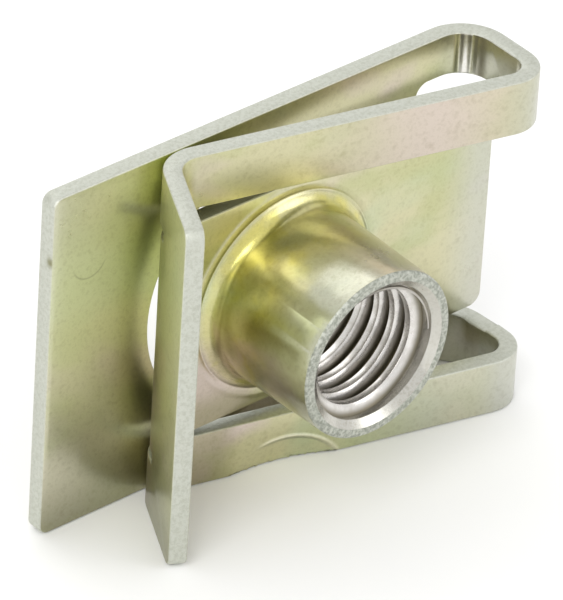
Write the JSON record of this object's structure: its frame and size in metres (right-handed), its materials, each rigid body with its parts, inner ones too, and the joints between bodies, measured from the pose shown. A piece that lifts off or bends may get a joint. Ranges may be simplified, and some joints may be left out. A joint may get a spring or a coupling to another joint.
{
  "type": "u clip speed nut",
  "caption": "Folded spring-steel clip that slides over a panel's edge and holds a drawn, threaded collar over the panel's hole, with a sprung cross bar and a flared lead-in lip.",
  "frame": {"origin": "on the thread axis, in the front face of the tongue that carries the collar", "axes": "+X along the strip towards the fold, -Y out of the collar's mouth, +Z across the strip's width"},
  "size_m": [0.0296, 0.0103, 0.0214],
  "materials": {
    "zinc_steel": "yellow passivated zinc plate"
  },
  "bodies": {
    "root": {"clip": "zinc_steel"}
  },
  "joints": []
}
